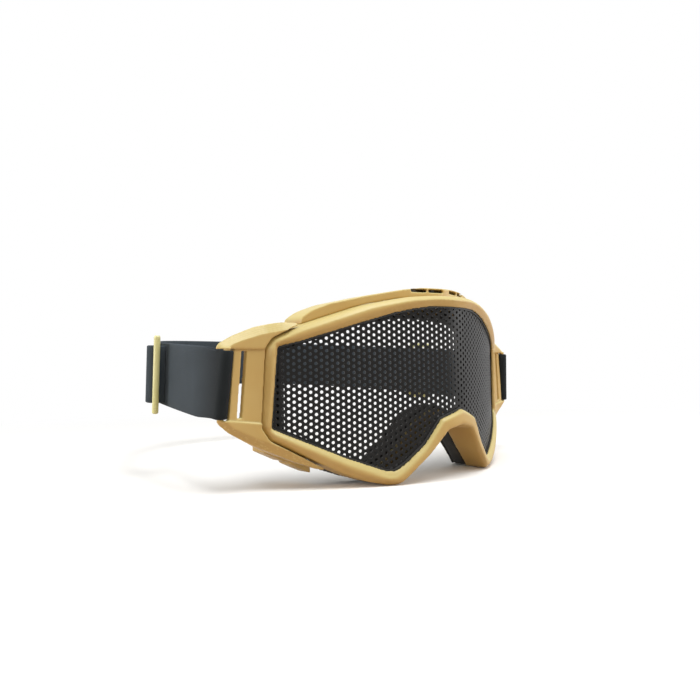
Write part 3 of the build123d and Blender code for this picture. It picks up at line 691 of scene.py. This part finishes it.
weave_skin, given, out = new_group(
    "weave_skin",
    [("Colour", "NodeSocketColor", (0.1, 0.11, 0.13, 1)),
     ("Shade Colour", "NodeSocketColor", (0.05, 0.05, 0.06, 1)),
     ("Rib Pitch", "NodeSocketFloat", 0.0009), ("Thread Pitch", "NodeSocketFloat", 0.0007)],
)
mapped = add_node(weave_skin, "ShaderNodeUVMap", {"uv_map": "weave"}).outputs["UV"]
parts = add_node(weave_skin, "ShaderNodeSeparateXYZ")
weave_skin.links.new(mapped, parts.inputs[0])
place = add_node(weave_skin, "ShaderNodeTexCoord").outputs["Object"]
rib = wave(weave_skin, parts.outputs["X"], given.outputs["Rib Pitch"])
thread = wave(weave_skin, parts.outputs["Y"], given.outputs["Thread Pitch"])
cross = ramp_up(weave_skin, math_node(weave_skin, "MULTIPLY", rib, thread), -1.0, 1.0)
fuzz = noise_value(weave_skin, place, 2200.0, 3.0)
height = math_node(weave_skin, "MULTIPLY_ADD", fuzz, 0.5, cross)
cloud = ramp_up(weave_skin, noise_value(weave_skin, place, 55.0, 3.0), 0.3, 0.7, 0.0, 0.3)
share = math_node(weave_skin, "SUBTRACT", 1.0, math_node(weave_skin, "MULTIPLY", cross, 0.55))
share = math_node(weave_skin, "MULTIPLY_ADD", cloud, 0.6, math_node(weave_skin, "MULTIPLY", share, 0.6))
tint = mix_colours(weave_skin, share, given.outputs["Colour"], given.outputs["Shade Colour"])
# Painted shade: the webbing darkens to near black towards the front, near its fold over the bar.
spread = add_node(weave_skin, "ShaderNodeSeparateXYZ")
weave_skin.links.new(place, spread.inputs[0])
painted_fold_shade = ramp_up(weave_skin, spread.outputs["Y"], 0.022, 0.048, 0.8, 0.0)
tint = mix_colours(weave_skin, painted_fold_shade, tint, (0.006, 0.007, 0.007, 1))
weave_skin.links.new(tint, out.inputs["Colour"])
weave_skin.links.new(ramp_up(weave_skin, fuzz, 0.3, 0.7, 0.85, 0.7), out.inputs["Roughness"])
weave_skin.links.new(height, out.inputs["Height"])
grey_webbing = skin_material(
    "grey_webbing", weave_skin,
    {"Colour": (0.066, 0.084, 0.104, 1), "Shade Colour": (0.030, 0.038, 0.047, 1)},
    bump=0.5, depth=0.00018, Sheen_Weight=0.03, IOR=1.2,
)

band_start = run_length + slider_zone + joint_length
tail_end = run_length + slider_zone / 2 + tail_length
for side, sign in (("left", 1), ("right", -1)):
    stations = []
    for index in range(run_steps + 1):
        distance = band_start * (1 - index / run_steps)
        stations.append(strap_station(distance, layer_offset(distance)))
    for index in range(1, fold_steps):
        turn = pi * index / fold_steps
        way = (cos(turn), -sin(turn))
        spot = (bar_place[0] + fold_ring * way[0], fold_ring * way[1])
        stations.append((spot, way, fold_width / 2, bar_lean))
    for index in range(tail_steps + 1):
        distance = tail_end * index / tail_steps
        centre, way, half_width, lean = strap_station(distance, -layer_offset(distance))
        stations.append((centre, (-way[0], -way[1]), half_width, lean))
    strap = webbing("strap_run_" + side, stations, sign, grey_webbing)
    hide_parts("strap_side_" + side)
    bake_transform(strap)

# Strap rear band
# The same webbing round the back of the head, one length from one side to the other.
stations = []
for index in range(band_steps + 1):
    distance = band_start + (route_length - band_start) * index / band_steps
    stations.append(strap_station(distance, layer_middle))
for centre, way, half_width, lean in reversed(stations[:-1]):
    stations.append(((-centre[0], centre[1]), (-way[0], way[1]), half_width, lean))
rear_band = webbing("strap_back", stations, 1, grey_webbing)
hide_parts("strap_rear_band")
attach(rear_band, "frame")

# Sliders
# Three-bar slides of pale olive-tan plastic: two outer bars, a thinner centre bar and rounded ends.
# The strap's pull holds each one tilted on the webbing.
pale_plastic = skin_material(
    "pale_plastic", plastic_skin,
    {"Colour": (0.64, 0.61, 0.27, 1), "Rubbed Colour": (0.82, 0.80, 0.50, 1), "Roughness": 0.26},
    bump=0.2, depth=0.00006, IOR=1.48,
)
for side in ("left", "right"):
    node, name = "strap_slider_" + side, "three_bar_slide_" + side
    slide = softened_copy(node, name, pale_plastic, voxel=0.00025, rounds=5)
    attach(slide, "slider_" + side + "_body")

# Strap bights
# The loose hump that the webbing makes as it passes up over the slider's centre bar and down again.
slider_distance = run_length + slider_zone / 2
slide_bar_radius, slide_bar_spacing, slide_play = 0.0017, 0.007, 0.0003
slide_tilt = radians(14.7)
bight_width, bight_inner_radius, bight_rise = 0.031, 0.003, 0.0009
for side, sign in (("left", 1), ("right", -1)):
    x, back, turn = route_at(slider_distance)
    out_way, back_way = (cos(turn), sin(turn)), (-sin(turn), cos(turn))
    foot = layer_middle + webbing_thickness / 2 + slide_play
    crown = foot + slide_bar_radius + slide_bar_spacing * sin(slide_tilt) + bight_rise
    ring = bight_inner_radius + webbing_thickness / 2
    line = [(foot, -ring), ((foot + crown) / 2, -ring)]
    for index in range(bend_steps + 1):
        bend = pi * index / bend_steps
        line.append((crown + ring * sin(bend), -ring * cos(bend)))
    line += [((foot + crown) / 2, ring), (foot, ring)]
    stations = []
    for index, (lift, along) in enumerate(line):
        first, last = line[max(index - 1, 0)], line[min(index + 1, len(line) - 1)]
        run = Vector((last[0] - first[0], last[1] - first[1])).normalized()
        spot = (x + lift * out_way[0] + along * back_way[0], back + lift * out_way[1] + along * back_way[1])
        normal = (run[1] * out_way[0] - run[0] * back_way[0], run[1] * out_way[1] - run[0] * back_way[1])
        stations.append((spot, normal, bight_width / 2, 0.0))
    hump = webbing("strap_hump_" + side, stations, sign, grey_webbing)
    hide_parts("strap_bight_" + side)
    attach(hump, "slider_" + side + "_body")
